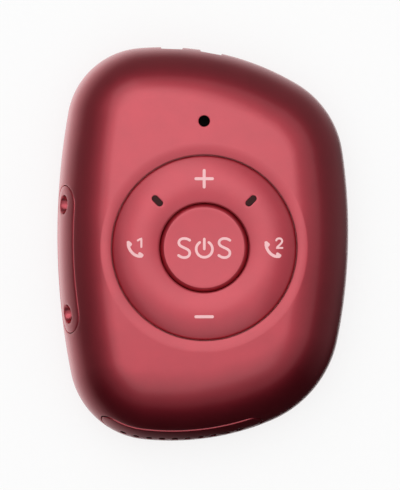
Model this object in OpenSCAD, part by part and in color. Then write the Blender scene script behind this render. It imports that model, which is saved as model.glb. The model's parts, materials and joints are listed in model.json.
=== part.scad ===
// Pendant alarm: a pebble-shaped housing with a four-way ring key round a large centre key.
// It lies on its back, with +X to the right, +Y to its top edge and +Z out of its front face.
// The origin is under the middle of the housing, on the flat back.

/* [Outline] */
// Width of the housing
body_w = 45.1; // [44.5:0.1:56]
// Height of the housing
body_h = 61; // [60:0.5:76]
// Radius of the right side
right_r = 84; // [60:1:160]
// Place of the right side's widest point above the middle
right_crest = 1.9; // [-3:0.1:6]
// Radius of the top edge
top_r = 40.7; // [36:0.1:60]
// Place of the top edge's highest point from the middle
top_crest = -6.2; // [-8:0.1:0]
// Radius of the left side
left_r = 108.4; // [70:0.1:160]
// Place of the left side's widest point above the middle
left_crest = 1.3; // [-3:0.1:4]
// Radius of the bottom edge
bottom_r = 40.5; // [36:0.1:60]
// Place of the bottom edge's lowest point from the middle
bottom_crest = -5; // [-8:0.1:0]
// Radius of the top right corner
top_right_r = 14.7; // [12:0.1:16]
// Radius of the top left corner
top_left_r = 12.1; // [10:0.1:14]
// Radius of the bottom left corner
bottom_left_r = 12.8; // [10:0.1:14]
// Radius of the bottom right corner
bottom_right_r = 17.3; // [14:0.1:18]

/* [Housing] */
// Height of the line where the two shells meet
parting_z = 4; // [3.4:0.1:4.4]
// Wall of the shells at the parting line
wall = 1.6; // [1.2:0.1:1.8]
// Thickness of the rear shell's floor
floor_t = 1.6; // [1.4:0.1:2.4]
// Width of the front shoulder, from the outline to the flat of the face
shoulder_w = 8.3; // [7:0.1:10]
// Extra width of the front shoulder at the bottom edge, where the face falls away sooner
shoulder_extra = 2.7; // [1.5:0.1:3]
// Width of the shoulder inside the front shell
inner_shoulder_w = 4.7; // [4:0.1:4.8]
// Extra width of the shoulder inside the front shell at the bottom edge
inner_extra = 2.2; // [1.8:0.1:2.4]
// Width of the rounding of the back edge
back_round_w = 3.6; // [2.5:0.1:4.5]
// Radius of the slight doming of the face
dome_r = 250; // [150:5:600]
// Thickness of the seal between the shells
seal_t = 0.2; // [0.1:0.05:0.4]
// Depth of the seal behind the outline
seal_inset = 0.35; // [0.31:0.01:0.6]
// Width of the seal
seal_w = 1.1; // [0.6:0.05:1.1]

/* [Dial] */
// Place of the dial from the middle, to the right
dial_x = 0.2; // [-0.2:0.1:0.4]
// Place of the dial from the middle, upward
dial_y = -0.6; // [-1.5:0.1:1]
// Radius of the dished seat round the ring key
dial_r = 15.85; // [15:0.05:16]
// Slope of the dished seat in degrees
dish_slope = 7; // [2:0.5:12]
// Radius of the ring key
ring_r = 14.2; // [13:0.1:14.6]
// Radius of the bore of the ring key
ring_bore_r = 7; // [6.6:0.1:7.4]
// Radius of the ring key's crest
ring_crest_r = 9.8; // [9:0.1:11]
// Fall of the ring key's crown from its crest to its outer edge
ring_crown = 1; // [0.2:0.05:1.2]
// Fall of the ring key's crown from its crest to its bore
ring_bore_fall = 0.3; // [0.05:0.05:0.4]
// Rise of the ring key's crest above the rim of the dish
ring_proud = 0.3; // [0.1:0.05:0.6]
// Gap between a key and its opening
key_gap = 0.25; // [0.2:0.01:0.35]
// Reach of a key's flange past its opening
flange_reach = 0.75; // [0.5:0.05:0.8]
// Radius of the flat top of the centre key
sos_top_r = 6.35; // [5:0.05:6.4]
// Depth of the centre key's top below the ring key's crest
sos_drop = 0.5; // [0.2:0.05:1]
// Depth of the step round the centre key
sos_step_h = 0.7; // [0.5:0.05:1]
// Fall of the sloping ledge at the foot of that step
sos_ledge_fall = 0.25; // [0.1:0.05:0.4]
// Travel of the centre key
sos_travel = 0.3; // [0.2:0.05:0.3]
// Radius at which the ring key works its switches
switch_orbit = 10.8; // [10.4:0.1:11]
// Length of a light window along the dial's radius
window_l = 2; // [1:0.1:3]
// Width of a light window
window_w = 1; // [0.6:0.1:1.6]
// Distance of a light window from the dial's axis
window_orbit = 10.2; // [9.8:0.1:10.8]
// Clearance round a light window's lens
window_clear = 0.05; // [0.02:0.01:0.1]

/* [Thickness stack] */
// Foam under the battery
foam_t = 0.5; // [0.3:0.1:1.5]
// Thickness of the battery
battery_t = 5; // [4:0.1:7]
// Room for the battery to swell
swell_gap = 0.1; // [0.1:0.05:0.4]
// Thickness of the inner frame's plate
frame_t = 0.8; // [0.6:0.1:1.6]
// Thickness of the main board
board_t = 1; // [0.8:0.1:1.6]
// Height of a switch with its plunger
switch_h = 1.85; // [1.6:0.05:3]
// Free travel above a plunger
switch_gap = 0.35; // [0.3:0.05:0.6]
// Thickness of the silicone pad
pad_t = 0.8; // [0.6:0.1:1.5]
// Gap between the ring key's feet and the pad
foot_gap = 0.35; // [0.3:0.05:0.6]
// Height of the ring key's feet below its flange
foot_h = 0.15; // [0.1:0.05:0.5]
// Thickness of the ring key's flange
flange_t = 0.65; // [0.4:0.05:1]
// Gap between the flange and the front shell
flange_gap = 0.55; // [0.5:0.05:0.8]
// Thickness of the front shell over the flange
lip_t = 2; // [1.8:0.1:3]

/* [Lanyard bar] */
// Length of the lanyard bar
lanyard_l = 22.7; // [21:0.1:26]
// Width of the lanyard bar
lanyard_w = 6.4; // [5.6:0.1:7]
// Place of the lanyard bar above the middle
lanyard_y = -2.4; // [-4:0.1:2]
// Height of the lanyard bar's middle
lanyard_z = 9; // [8.5:0.05:9.2]
// Depth of the lanyard bar
lanyard_depth = 5.4; // [5:0.1:5.6]
// Radius of the lanyard holes
lanyard_hole_r = 1.5; // [1:0.05:1.8]
// Distance between the lanyard holes
lanyard_pitch = 16.9; // [12:0.1:17.5]
// Thickness of the bar that the lanyard loops round
lanyard_bar_t = 2.4; // [2:0.1:2.6]
// Thickness of the wall behind the lanyard's tunnel
lanyard_back_t = 0.8; // [0.6:0.1:1.2]

/* [Loudspeaker] */
// Length of the grille
grille_l = 24.6; // [22:0.1:24.8]
// Width of the grille
grille_w = 4.6; // [4.4:0.1:5.6]
// Place of the grille from the middle
grille_x = -3.3; // [-3.6:0.1:-2.4]
// Height of the grille's middle
grille_z = 7.4; // [7.3:0.1:8]
// Depth of the grille's back from the lowest point of the outline
grille_depth = 3.75; // [3.6:0.05:4.4]
// Distance between the holes of the grille
grille_pitch = 2; // [1.6:0.05:2.2]
// Radius of the holes of the grille
grille_hole_r = 0.5; // [0.3:0.05:0.7]
// Distance of the holes below the grille's middle
grille_row_drop = 0.9; // [0:0.1:1]
// Number of holes in the grille
grille_holes = 10; // [4:1:10]
// Gap between an inlay and its opening
inlay_gap = 0.12; // [0.08:0.01:0.2]
// Room between the loudspeaker and the screw posts beside it
speaker_clear = 1.3; // [1.3:0.05:3]
// Length of the loudspeaker
speaker_l = 9.5; // [6:0.5:10]
// Thickness of the loudspeaker
speaker_t = 3.4; // [2.5:0.1:3.5]
// Thickness of the grille's mesh
mesh_t = 0.15; // [0.1:0.05:0.3]

/* [Microphone] */
// Distance of the microphone's hole above the dial's axis
mic_rise = 19.5; // [18.5:0.1:21]
// Radius of the microphone's hole
mic_hole_r = 0.85; // [0.4:0.05:1.1]

/* [Charging contacts] */
// Place of the left contact from the middle
contact_left_x = -4.8; // [-6:0.1:-4]
// Place of the right contact from the middle
contact_right_x = 1.3; // [0.5:0.1:3]
// Width of a contact's recess
contact_notch_w = 3.2; // [2.4:0.1:4]
// Depth of a contact's recess
contact_notch_d = 0.3; // [0.1:0.05:0.3]
// Radius of a contact's pin
contact_pin_r = 0.9; // [0.5:0.05:1]
// Height of a contact's pin
contact_z = 5.4; // [5.4:0.05:5.8]

/* [Inner parts] */
// Room between the battery's rails and the lanyard bar
rail_clear = 2.15; // [1.6:0.05:4]
// Gap between the battery and the loudspeaker's terminals
battery_gap = 1.7; // [0.6:0.1:4]
// Gap between the battery and the radio module
modem_gap = 1.4; // [0.6:0.1:3]
// Radius of the screw posts
post_r = 1.8; // [1.5:0.05:1.9]
// Radius of the screws' shanks
screw_r = 0.75; // [0.5:0.05:0.9]
// Length of the screws under the head
screw_l = 7; // [5:0.1:8]
// Room between the radio module and the screw posts beside it
modem_clear = 1.75; // [1.2:0.05:4]
// Distance of the radio module from the top edge
modem_inset = 5.1; // [5.1:0.1:7]
// Length of the radio module
modem_l = 10; // [8:0.5:10]
// Thickness of the radio module
modem_t = 2.2; // [1.6:0.1:2.6]
// Side of the satellite antenna
gps_w = 8.4; // [6:0.1:8.6]
// Thickness of the satellite antenna
gps_t = 2; // [1:0.1:2.1]
// Gap between the vibration motor and its neighbours
motor_clear = 0.25; // [0.25:0.05:1]
// Thickness of the vibration motor
motor_t = 2.7; // [2:0.1:3]

/* [Hidden] */
$fn = 64;

// Levels of the stack, from the back face up
battery_z0 = floor_t + foam_t;
battery_z1 = battery_z0 + battery_t;
frame_z0 = battery_z1 + swell_gap;
board_z0 = frame_z0 + frame_t;
board_z1 = board_z0 + board_t;
plunger_z = board_z1 + switch_h;
pad_z0 = plunger_z + switch_gap;
pad_z1 = pad_z0 + pad_t;
foot_z = pad_z1 + foot_gap;
flange_z0 = foot_z + foot_h;
flange_z1 = flange_z0 + flange_t;
ceil_z = flange_z1 + flange_gap;
rim_z = ceil_z + lip_t;
crest_z = rim_z + ring_proud;
front_z0 = parting_z + seal_t / 2;
rear_z1 = parting_z - seal_t / 2;
dial_c = [dial_x, dial_y];

// Steps of the moulded skins: on a side, on a corner, up the shoulder, inside it and down the back edge
side_steps = 10;
corner_steps = 14;
shoulder_steps = 12;
inner_steps = 6;
back_steps = 5;

// Margin by which a cutter passes the face that it cuts
cut = 1;

// The outline: four side arcs and four corner arcs, each tangent to the next, from the right side
// anticlockwise. A side touches the housing's box at its crest, and a corner's centre lies where two
// circles meet that are concentric with its neighbours.
side_r = [right_r, top_r, left_r, bottom_r];
side_c = [[body_w / 2 - right_r, right_crest], [top_crest, body_h / 2 - top_r],
    [left_r - body_w / 2, left_crest], [bottom_crest, bottom_r - body_h / 2]];
corner_r = [top_right_r, top_left_r, bottom_left_r, bottom_right_r];

function circles_meet(c1, d1, c2, d2) =
    let (v = c2 - c1, gap = norm(v), u = v / gap, a = (d1 * d1 - d2 * d2 + gap * gap) / (2 * gap))
    c1 + u * a + [-u.y, u.x] * sqrt(d1 * d1 - a * a);
function bearing(v, middle) =
    let (a = atan2(v.y, v.x))
    a + 360 * round((middle - a) / 360);

corner_c = [for (i = [0:3])
    let (n = (i + 1) % 4)
    circles_meet(side_c[i], side_r[i] - corner_r[i], side_c[n], side_r[n] - corner_r[i])];
corner_from = [for (i = [0:3]) bearing(corner_c[i] - side_c[i], 45 + 90 * i)];
corner_to = [for (i = [0:3]) bearing(corner_c[i] - side_c[(i + 1) % 4], 45 + 90 * i)];
arcs = [for (i = [0:3]) each [
    [side_c[i], side_r[i], i == 0 ? corner_to[3] - 360 : corner_to[i - 1], corner_from[i], side_steps],
    [corner_c[i], corner_r[i], corner_from[i], corner_to[i], corner_steps]]];

// Each sample of the outline is a point and the outward normal there
outline = [for (arc = arcs) for (j = [0:arc[4] - 1])
    let (a = arc[2] + (arc[3] - arc[2]) * j / arc[4], n = [cos(a), sin(a)])
    [arc[0] + arc[1] * n, n]];

// Distance of a point inside the outline from the outline, with the normal of the outline there
function arc_inset(p, arc) =
    let (v = p - arc[0], a = bearing(v, (arc[2] + arc[3]) / 2))
    a >= arc[2] - 0.01 && a <= arc[3] + 0.01 ? [arc[1] - norm(v), v / norm(v)] : [body_h, [1, 0]];
function inset_of(p) =
    let (all = [for (arc = arcs) arc_inset(p, arc)], d = min([for (i = all) i[0]]))
    [for (i = all) if (i[0] == d) i][0];

// Share of the bottom edge's extra shoulder that a place with this normal has
function low_share(n) = pow(max(0, -n.y), 1.6);

// The front skin rises as a quarter ellipse over the shoulder and domes slightly towards the dial.
// It meets the dial's rim at one height all the way round.
function shoulder(p) =
    let (i = inset_of(p), w = shoulder_w + shoulder_extra * low_share(i[1]))
    i[0] >= w ? 1 : sqrt(1 - pow(1 - i[0] / w, 2));
function dome(r) = rim_z - (r * r - dial_r * dial_r) / (2 * dome_r);
function skin_point(p, t) =
    let (q = dial_c + dial_r * (p - dial_c) / norm(p - dial_c), xy = p + (q - p) * t,
        rise = t == 0 ? 0 : shoulder(xy) / shoulder(q))
    [xy.x, xy.y, front_z0 + (dome(norm(xy - dial_c)) - front_z0) * rise];
skin = [for (k = [0:shoulder_steps])
    let (t = 1 - cos(90 * k / shoulder_steps))
    [for (s = outline) skin_point(s[0], t)]];

function inner_width(n) = inner_shoulder_w + inner_extra * low_share(n);
function inner_ring(a) = [for (s = outline)
    let (p = s[0] - (wall + inner_width(s[1]) * (1 - cos(a))) * s[1])
    [p.x, p.y, front_z0 + (ceil_z - front_z0) * sin(a)]];
function inset_ring(d, z) = [for (s = outline) [s[0].x - d * s[1].x, s[0].y - d * s[1].y, z]];
function dial_ring(r, z) = [for (s = outline)
    let (q = dial_c + r * (s[0] - dial_c) / norm(s[0] - dial_c))
    [q.x, q.y, z]];

// Places shared by several pieces
opening_r = ring_r + key_gap;
flange_r = opening_r + flange_reach;
core_r = ring_bore_r;
ring_under_z = flange_z1 + key_gap;
sos_r = ring_bore_r - key_gap;
sos_z = crest_z - sos_drop;
post_gap = 0.3;
posts = [for (i = [0:3])
    let (n = [cos(45 + 90 * i), sin(45 + 90 * i)])
    corner_c[i] + (corner_r[i] - wall - inner_width(n) - post_r - post_gap) * n];
boss_wall = 0.6;
boss_r = post_r + boss_wall;
boss_z = 3.6;
head_r = 2 * screw_r;
head_h = 1.1;
head_recess = 0.2;
head_clear = 0.2;
screw_clear = 0.05;
lanyard_x = lanyard_depth - body_w / 2;
grille_y = grille_depth - body_h / 2;
speaker_y = grille_y + mesh_t;
horn_t = 0.6;
horn_inset = 0.4;
mic_y = dial_y + mic_rise;
mic_h = 1.1;
mic_mesh_lap = 0.75;
mic_mesh_r = mic_hole_r + mic_mesh_lap;
mic_mesh_t = 0.3;
gasket_lap = 0.4;
gasket_r = mic_mesh_r + gasket_lap;
board_inset = 3.2;
frame_inset = 3.4;
board_clear = 0.35;
pad_inward = 1.8;
pad_outward = 1.4;
pad_in_r = switch_orbit - pad_inward;
pad_out_r = switch_orbit + pad_outward;
notch_rise = 5;
notch_z1 = parting_z + notch_rise;
window_angles = [45, 135];
key_angles = [0:90:270];

// The loudspeaker, the battery and the radio module share the length of the housing, and the posts and
// the lanyard bar set their widths
speaker_x = (posts[2].x + posts[3].x) / 2 - post_gap;
speaker_w = posts[3].x - posts[2].x - 2 * (post_r + speaker_clear);
terminal_w = 2;
terminal_l = 0.8;
terminal_h = 1.4;
rail_t = 0.8;
rail_gap = 0.2;
rail_inset = 4;
modem_y1 = body_h / 2 - modem_inset;
modem_y0 = modem_y1 - modem_l;
modem_w = 2 * (posts[0].x - post_r - modem_clear);
battery_y0 = speaker_y + horn_t + speaker_l + terminal_l + battery_gap;
battery_y1 = modem_y0 - modem_gap;
battery_y = (battery_y0 + battery_y1) / 2;
battery_l = battery_y1 - battery_y0;
battery_w = 2 * (-lanyard_x - rail_clear - rail_t - rail_gap);

// The vibration motor lies between the microphone's gasket and a screw post
motor_x0 = dial_x + gasket_r + motor_clear;
motor_x1 = posts[0].x - post_r - motor_clear;
motor_r = (motor_x1 - motor_x0) / 2;
motor_drop = 0.6;

// A solid between rings of points, the first at the bottom of its outside. Closed, the last ring joins
// the first; capped, the first and last rings are flat ends.
module loft(rings, capped) {
    n = len(rings[0]);
    m = len(rings);
    points = [for (ring = rings) each ring];
    walls = [for (i = [0:m - (capped ? 2 : 1)]) for (j = [0:n - 1])
        let (a = i * n + j, b = i * n + (j + 1) % n, k = (i + 1) % m,
            c = k * n + (j + 1) % n, d = k * n + j)
        each [[a, d, c], [a, c, b]]];
    ends = capped ? [[for (j = [0:n - 1]) j], [for (j = [n - 1:-1:0]) (m - 1) * n + j]] : [];
    polyhedron(points = points, faces = concat(walls, ends));
}

// The front skin filled down to the parting line, for inlays that lie flush in it
module skin_solid() {
    loft(skin, true);
}

module at_dial(z = 0) {
    translate([dial_x, dial_y, z]) children();
}

module stadium(l, w) {
    hull() {
        translate([(w - l) / 2, 0]) circle(d = w);
        translate([(l - w) / 2, 0]) circle(d = w);
    }
}

module rounded_block(size, r) {
    translate([0, 0, size.z / 2])
        linear_extrude(size.z, center = true)
            offset(r)
                square([size.x - 2 * r, size.y - 2 * r], center = true);
}

module plate(inset, z, t) {
    translate([0, 0, z])
        linear_extrude(t)
            polygon([for (s = outline) s[0] - inset * s[1]]);
}

// Prism of the lanyard bar's shape, grown by a gap, from the outline inward
module lanyard_prism(gap, inner_x) {
    outer_x = -body_w / 2 - cut;
    translate([outer_x, lanyard_y, lanyard_z])
        rotate([90, 0, 90])
            linear_extrude(inner_x - outer_x)
                stadium(lanyard_l + 2 * gap, lanyard_w + 2 * gap);
}

// Prism of the grille's shape, grown by a gap, between two depths
module grille_prism(gap, outer_y, inner_y) {
    translate([grille_x, inner_y, grille_z])
        rotate([90, 0, 0])
            linear_extrude(inner_y - outer_y)
                stadium(grille_l + 2 * gap, grille_w + 2 * gap);
}

// Frame of a charging contact: its origin on the outline, +Y outward
module at_contact(x) {
    translate([top_crest, body_h / 2 - top_r, 0])
        rotate(-asin((x - top_crest) / top_r))
            translate([0, top_r, 0])
                children();
}

module contact_notches() {
    for (x = [contact_left_x, contact_right_x])
        at_contact(x)
            translate([-contact_notch_w / 2, -contact_notch_d, floor_t])
                cube([contact_notch_w, cut, notch_z1 - floor_t]);
}

module front_shell() {
    inner = [for (k = [inner_steps:-1:0]) inner_ring(90 * k / inner_steps)];
    dish_z = rim_z - (dial_r - core_r) * tan(dish_slope);
    color([0.72, 0.18, 0.22])
        difference() {
            loft(concat(skin, [dial_ring(core_r, dish_z), dial_ring(core_r, ceil_z)], inner), false);
            at_dial(ceil_z - cut) cylinder(r = opening_r, h = lip_t + 2 * cut);
            translate([dial_x, mic_y, ceil_z - cut]) cylinder(r = mic_hole_r, h = lip_t + 3 * cut);
            translate([dial_x, mic_y, ceil_z - cut])
                cylinder(r = mic_mesh_r + screw_clear, h = mic_mesh_t + cut);
            lanyard_prism(inlay_gap, lanyard_x + cut);
            grille_prism(inlay_gap, -body_h / 2 - cut, speaker_y + horn_t + cut / 2);
            contact_notches();
            for (x = [contact_left_x, contact_right_x])
                at_contact(x)
                    translate([0, cut, contact_z])
                        rotate([90, 0, 0])
                            cylinder(r = contact_pin_r + screw_clear, h = wall + 2 * cut);
        }
}

module rear_shell() {
    outer = [for (k = [back_steps:-1:0])
        let (a = 90 * k / back_steps)
        inset_ring(back_round_w * (1 - cos(a)), rear_z1 * (1 - sin(a)))];
    inner_h = rear_z1 - floor_t;
    inner = [for (k = [0:back_steps])
        let (a = 90 * k / back_steps)
        inset_ring(wall + inner_h * (1 - cos(a)), rear_z1 - inner_h * sin(a))];
    color([0.66, 0.16, 0.2])
        difference() {
            union() {
                loft(concat(outer, inner), true);
                for (p = posts)
                    translate([p.x, p.y, floor_t / 2]) cylinder(r = boss_r, h = boss_z - floor_t / 2);
            }
            for (p = posts) {
                translate([p.x, p.y, -cut]) cylinder(r = screw_r + head_clear, h = boss_z + 2 * cut);
                translate([p.x, p.y, -cut]) cylinder(r = head_r + head_clear, h = head_recess + head_h + cut);
            }
            contact_notches();
        }
}

module shell_seal() {
    inside = seal_inset + seal_w;
    color([0.12, 0.12, 0.13])
        loft([inset_ring(seal_inset, rear_z1), inset_ring(seal_inset, front_z0),
            inset_ring(inside, front_z0), inset_ring(inside, rear_z1)], false);
}

// Room that the board and the frame leave for the two inlays
module inlay_room(z, t) {
    translate([-body_w, lanyard_y - lanyard_l / 2 - board_clear, z - cut])
        cube([body_w + lanyard_x + board_clear, lanyard_l + 2 * board_clear, t + 2 * cut]);
    translate([grille_x - grille_l / 2 - board_clear, -body_h, z - cut])
        cube([grille_l + 2 * board_clear, body_h + speaker_y + horn_t + board_clear, t + 2 * cut]);
}

// Carrier between the shells: screw posts, a plate under the board and rails beside the battery
module inner_frame() {
    rail_x = battery_w / 2 + rail_gap + rail_t / 2;
    window_clear_w = 0.6;
    window_wide = modem_w + 2 * window_clear_w;
    color([0.2, 0.2, 0.21])
        difference() {
            union() {
                difference() {
                    plate(frame_inset, frame_z0, frame_t);
                    inlay_room(frame_z0, frame_t);
                    translate([-window_wide / 2, battery_y1, frame_z0 - cut])
                        cube([window_wide, body_h / 2, frame_t + 2 * cut]);
                }
                for (p = posts)
                    translate([p.x, p.y, boss_z]) cylinder(r = post_r, h = ceil_z - boss_z);
                for (side = [-1, 1])
                    translate([side * rail_x, battery_y, (battery_z0 + board_z0) / 2])
                        cube([rail_t, battery_l - 2 * rail_inset, board_z0 - battery_z0], center = true);
            }
            for (p = posts)
                translate([p.x, p.y, boss_z - cut])
                    cylinder(r = screw_r + screw_clear, h = screw_l + 2 * cut);
        }
}

// The crown falls as a parabola to each edge, further to the outer one
module ring_body() {
    crown_steps = 16;
    outer_w = ring_r - ring_crest_r;
    inner_w = ring_crest_r - ring_bore_r;
    crown = [for (k = [0:crown_steps])
        let (r = ring_r - (outer_w + inner_w) * k / crown_steps, x = r - ring_crest_r)
        [r, crest_z - (x > 0 ? ring_crown * pow(x / outer_w, 2) : ring_bore_fall * pow(x / inner_w, 2))]];
    foot_r = pad_out_r + key_gap;
    at_dial()
        rotate_extrude($fn = 96)
            polygon(concat([[ring_bore_r, ring_under_z], [foot_r, ring_under_z], [foot_r, flange_z0],
                [flange_r, flange_z0], [flange_r, flange_z1], [ring_r, flange_z1]], crown));
}

module light_windows(clear) {
    for (a = window_angles)
        at_dial()
            rotate(a)
                translate([window_orbit, 0, foot_z - cut])
                    linear_extrude(crest_z - foot_z + 2 * cut)
                        stadium(window_l - 2 * clear, window_w - 2 * clear);
}

module ring_key() {
    foot_r = 1;
    color([0.74, 0.19, 0.23])
        difference() {
            union() {
                ring_body();
                for (a = key_angles)
                    at_dial(foot_z)
                        rotate(a)
                            translate([switch_orbit, 0, 0])
                                cylinder(r = foot_r, h = ring_under_z + key_gap - foot_z);
            }
            light_windows(0);
        }
}

module led_lenses() {
    color([0.25, 0.15, 0.15])
        intersection() {
            ring_body();
            light_windows(window_clear);
        }
}

module sos_key() {
    stem_r = 1.2;
    sos_flange_r = ring_bore_r + flange_reach;
    sos_flange_z1 = ring_under_z - 2 * key_gap;
    stem_gap = 0.1;
    stem_z = plunger_z + sos_travel + stem_gap;
    color([0.74, 0.19, 0.23])
        at_dial()
            rotate_extrude($fn = 96)
                polygon([[0, stem_z], [stem_r, stem_z], [stem_r, sos_flange_z1 - flange_t],
                    [sos_flange_r, sos_flange_z1 - flange_t], [sos_flange_r, sos_flange_z1],
                    [sos_r, sos_flange_z1], [sos_r, sos_z - sos_step_h],
                    [sos_top_r, sos_z - sos_step_h + sos_ledge_fall], [sos_top_r, sos_z], [0, sos_z]]);
}

module ring_pad() {
    color([0.3, 0.3, 0.32])
        at_dial(pad_z0)
            difference() {
                cylinder(r = pad_out_r, h = pad_t);
                translate([0, 0, -cut]) cylinder(r = pad_in_r, h = pad_t + 2 * cut);
            }
}

// Inlay with two holes, joined behind it by the tunnel that the lanyard runs through
module lanyard_bar() {
    tunnel_x0 = lanyard_bar_t - body_w / 2;
    tunnel_x1 = lanyard_x - lanyard_back_t;
    tunnel_clear = 0.1;
    tunnel_half = lanyard_hole_r + tunnel_clear;
    tunnel_l = lanyard_pitch + 2 * tunnel_half;
    color([0.72, 0.18, 0.22])
        difference() {
            intersection() {
                skin_solid();
                lanyard_prism(0, lanyard_x);
            }
            for (side = [-1, 1])
                translate([-body_w / 2 - cut, lanyard_y + side * lanyard_pitch / 2, lanyard_z])
                    rotate([0, 90, 0])
                        cylinder(r = lanyard_hole_r, h = lanyard_bar_t + 1.5 * cut);
            translate([tunnel_x0, lanyard_y - tunnel_l / 2, lanyard_z - tunnel_half])
                cube([tunnel_x1 - tunnel_x0, tunnel_l, 2 * tunnel_half]);
        }
}

module speaker_grille() {
    first_x = grille_x - (grille_holes - 1) * grille_pitch / 2;
    color([0.7, 0.17, 0.21])
        difference() {
            intersection() {
                skin_solid();
                grille_prism(0, -body_h / 2 - cut, grille_y);
            }
            for (k = [0:grille_holes - 1])
                translate([first_x + k * grille_pitch, grille_y + cut, grille_z - grille_row_drop])
                    rotate([90, 0, 0])
                        cylinder(r = grille_hole_r, h = grille_depth + 2 * cut);
        }
}

module speaker_mesh() {
    color([0.1, 0.1, 0.1])
        grille_prism(-horn_inset, grille_y, speaker_y);
}

module speaker() {
    frame_round = 1;
    color([0.15, 0.15, 0.16]) {
        grille_prism(-horn_inset, speaker_y, speaker_y + horn_t);
        translate([speaker_x, speaker_y + horn_t + speaker_l / 2, frame_z0 - speaker_t])
            rounded_block([speaker_w, speaker_l, speaker_t], frame_round);
        for (side = [-1, 1])
            translate([speaker_x + side * speaker_w / 4 - terminal_w / 2, speaker_y + horn_t + speaker_l,
                frame_z0 - terminal_h])
                cube([terminal_w, terminal_l, terminal_h]);
    }
}

module microphone() {
    can = [3.8, 3, mic_h];
    can_round = 0.3;
    color([0.75, 0.75, 0.72])
        translate([dial_x, mic_y, board_z1])
            difference() {
                rounded_block(can, can_round);
                translate([0, 0, mic_h / 2]) cylinder(r = mic_hole_r / 2, h = mic_h);
            }
}

module mic_gasket() {
    color([0.12, 0.12, 0.12])
        translate([dial_x, mic_y, board_z1 + mic_h])
            difference() {
                cylinder(r = gasket_r, h = ceil_z - board_z1 - mic_h);
                translate([0, 0, -cut]) cylinder(r = mic_hole_r, h = ceil_z - board_z1);
            }
}

module mic_mesh() {
    color([0.05, 0.05, 0.05])
        translate([dial_x, mic_y, ceil_z]) cylinder(r = mic_mesh_r, h = mic_mesh_t);
}

module main_board() {
    color([0.05, 0.3, 0.16])
        difference() {
            plate(board_inset, board_z0, board_t);
            inlay_room(board_z0, board_t);
            for (p = posts)
                translate([p.x, p.y, board_z0 - cut])
                    cylinder(r = post_r + board_clear, h = board_t + 2 * cut);
        }
}

module tact_switch() {
    plunger_h = 0.45;
    plunger_r = 0.9;
    case_l = 4.2;
    case_w = 3.2;
    case_round = 0.4;
    rounded_block([case_l, case_w, switch_h - plunger_h], case_round);
    translate([0, 0, (switch_h - plunger_h) / 2]) cylinder(r = plunger_r, h = switch_h / 2 + plunger_h / 2);
}

module rocker_switches() {
    color([0.8, 0.8, 0.78])
        for (a = key_angles)
            at_dial(board_z1)
                rotate(a)
                    translate([switch_orbit, 0, 0])
                        rotate(90) tact_switch();
}

module sos_switch() {
    color([0.8, 0.8, 0.78])
        at_dial(board_z1) tact_switch();
}

module status_leds() {
    led_l = 1.6;
    led_w = 0.8;
    led_h = 0.7;
    color([0.95, 0.95, 0.85])
        for (a = window_angles)
            at_dial(board_z1)
                rotate(a)
                    translate([window_orbit, 0, led_h / 2])
                        cube([led_l, led_w, led_h], center = true);
}

module modem_shield() {
    can_round = 0.6;
    color([0.78, 0.79, 0.8])
        translate([0, (modem_y0 + modem_y1) / 2, board_z0 - modem_t])
            rounded_block([modem_w, modem_l, modem_t], can_round);
}

module gps_antenna() {
    gps_x = (posts[2].x + posts[3].x) / 2;
    gps_y = speaker_y + horn_t + board_clear;
    electrode_inset = 0.8;
    electrode_t = 0.15;
    electrode_w = gps_w - 2 * electrode_inset;
    tile_round = 0.3;
    color([0.85, 0.8, 0.68])
        translate([gps_x, gps_y + gps_w / 2, board_z1]) {
            rounded_block([gps_w, gps_w, gps_t - electrode_t], tile_round);
            rounded_block([electrode_w, electrode_w, gps_t], tile_round);
        }
}

// Strip that stands along the right wall, below the board
module cellular_antenna() {
    strip_inset = 2.3;
    strip_t = 0.2;
    strip_half = 10;
    strip_z0 = front_z0 + 0.5;
    strip_z1 = board_z0 - 0.1;
    color([0.75, 0.5, 0.2])
        translate([side_c[0].x, side_c[0].y, strip_z0])
            rotate(-strip_half * 180 / (PI * right_r))
                rotate_extrude(angle = 2 * strip_half * 180 / (PI * right_r), $fn = 360)
                    translate([right_r - strip_inset - strip_t, 0]) square([strip_t, strip_z1 - strip_z0]);
}

module vibration_motor() {
    rim_w = 0.5;
    rim_h = 0.2;
    color([0.8, 0.8, 0.82])
        translate([(motor_x0 + motor_x1) / 2, mic_y - motor_drop, board_z1]) {
            cylinder(r = motor_r, h = motor_t - rim_h);
            cylinder(r = motor_r - rim_w, h = motor_t);
        }
}

module battery() {
    pouch_round = 1.2;
    color([0.78, 0.79, 0.82])
        translate([0, battery_y, battery_z0])
            rounded_block([battery_w, battery_l, battery_t], pouch_round);
}

module battery_pad() {
    foam_inset = 3;
    foam_round = 1;
    color([0.25, 0.25, 0.26])
        translate([0, battery_y, floor_t])
            rounded_block([battery_w - 2 * foam_inset, battery_l - 2 * foam_inset, foam_t], foam_round);
}

module battery_tabs() {
    tab_w = 2;
    tab_t = 0.2;
    tab_x = 3;
    color([0.8, 0.79, 0.75])
        for (side = [-1, 1])
            translate([side * tab_x - tab_w / 2, battery_y1, battery_z1 - battery_t / 2])
                cube([tab_w, tab_t, board_z0 - battery_z1 + battery_t / 2]);
}

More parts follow.
